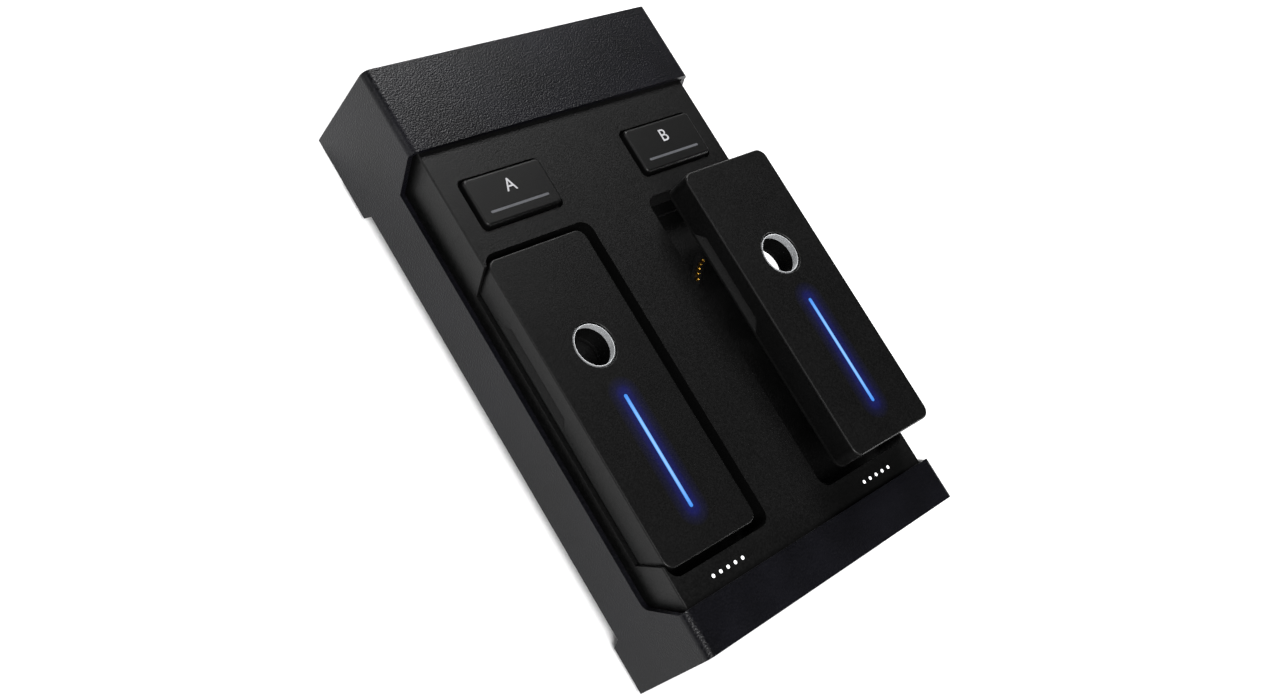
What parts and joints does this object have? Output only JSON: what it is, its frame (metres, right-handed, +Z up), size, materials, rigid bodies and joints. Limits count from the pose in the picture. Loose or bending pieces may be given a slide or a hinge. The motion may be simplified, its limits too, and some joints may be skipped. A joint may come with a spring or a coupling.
{
  "type": "wireless turntable controller dock",
  "caption": "Receiver dock for wireless turntable remotes: bent metal sleeve over a moulded console, keys, docks with sprung contacts, and remotes with spindle bores.",
  "frame": {"origin": "on the surface that the feet stand on, under the middle of the cover sleeve", "axes": "+X from dock A to dock B, +Y towards the rear jacks, +Z up"},
  "size_m": [0.1, 0.1644, 0.045],
  "materials": {
    "cover_paint": "fine textured powder coat, satin, near-black with a cool cast",
    "console_plastic": "moulded, fine matte grain",
    "base_plastic": "moulded, plain matte",
    "foot_rubber": "matte black rubber",
    "screw_steel": "dark zinc plated",
    "panel_paint": "black powder coat",
    "board_laminate": "green solder mask",
    "tin_plate": "tinned steel",
    "led_lens": "clear epoxy",
    "light_pipe": "clear acrylic, lit white from below",
    "connector_plastic": "black nylon",
    "nickel_plate": "nickel plated",
    "insert_white": "white plastic",
    "insert_red": "red plastic",
    "gold_plate": "gold plated",
    "key_plastic": "satin moulded keycap",
    "key_light": "frosted light bar, unlit",
    "magnet_nickel": "nickel plated magnet",
    "remote_plastic": "soft-touch satin black",
    "remote_base_plastic": "moulded matte black",
    "liner_silver": "bead-blasted silver anodised aluminium",
    "light_bar": "frosted acrylic, lit blue",
    "battery_foil": "laminated foil pouch"
  },
  "bodies": {
    "receiver": {"antenna_boards": "board_laminate", "base_plate": "base_plastic", "base_screws": "screw_steel", "board_screws": "screw_steel", "console": "console_plastic", "cover_sleeve": "cover_paint", "dock_magnets": "magnet_nickel", "feet": "foot_rubber", "front_board": "board_laminate", "key_board": "board_laminate", "key_switches": "connector_plastic", "level_leds": "led_lens", "light_pipe_a": "light_pipe", "light_pipe_b": "light_pipe", "main_board": "board_laminate", "pin_block_a": "connector_plastic", "pin_block_b": "connector_plastic", "radio_shield": "tin_plate", "rca_barrels": "nickel_plate", "rca_blocks": "connector_plastic", "rca_contacts": "gold_plate", "rca_inserts_red": "insert_red", "rca_inserts_white": "insert_white", "rear_panel": "panel_paint", "stud_nuts": "screw_steel", "usb_shell": "tin_plate", "usb_tongue": "connector_plastic"},
    "key_a": {"key_a_cap": "key_plastic", "key_a_bar": "key_light", "key_a_stems": "connector_plastic"},
    "key_b": {"key_b_cap": "key_plastic", "key_b_bar": "key_light", "key_b_stems": "connector_plastic"},
    "pins_a": {"contact_pins_a": "gold_plate"},
    "pins_b": {"contact_pins_b": "gold_plate"},
    "remote_a": {"remote_a_battery": "battery_foil", "remote_a_board": "board_laminate", "remote_a_bottom_shell": "remote_base_plastic", "remote_a_contact_board": "board_laminate", "remote_a_contact_pads": "gold_plate", "remote_a_light_bar": "light_bar", "remote_a_magnets": "magnet_nickel", "remote_a_screws": "screw_steel", "remote_a_spindle_liner": "liner_silver", "remote_a_top_shell": "remote_plastic"},
    "remote_b": {"remote_b_battery": "battery_foil", "remote_b_board": "board_laminate", "remote_b_bottom_shell": "remote_base_plastic", "remote_b_contact_board": "board_laminate", "remote_b_contact_pads": "gold_plate", "remote_b_light_bar": "light_bar", "remote_b_magnets": "magnet_nickel", "remote_b_screws": "screw_steel", "remote_b_spindle_liner": "liner_silver", "remote_b_top_shell": "remote_plastic"}
  },
  "joints": [
    {"name": "key_a_press", "type": "slide", "parent": "receiver", "child": "key_a", "axis": [0, 0, -1], "range_m": [0, 0.0007], "stiffness_N_per_m": 800, "springref_m": -0.0005},
    {"name": "pins_a_press", "type": "slide", "parent": "receiver", "child": "pins_a", "axis": [0, 0, -1], "range_m": [0, 0.0008], "stiffness_N_per_m": 400, "springref_m": -0.0005},
    {"name": "key_b_press", "type": "slide", "parent": "receiver", "child": "key_b", "axis": [0, 0, -1], "range_m": [0, 0.0007], "stiffness_N_per_m": 800, "springref_m": -0.0005},
    {"name": "pins_b_press", "type": "slide", "parent": "receiver", "child": "pins_b", "axis": [0, 0, -1], "range_m": [0, 0.0008], "stiffness_N_per_m": 400, "springref_m": -0.0005},
    {"name": "remote_a_lift", "type": "slide", "parent": "receiver", "child": "remote_a", "axis": [0, 0, 1], "range_m": [0, 0.06]},
    {"name": "remote_b_lift", "type": "slide", "parent": "receiver", "child": "remote_b", "axis": [0, 0, 1], "range_m": [-0.0133, 0.0467]}
  ]
}
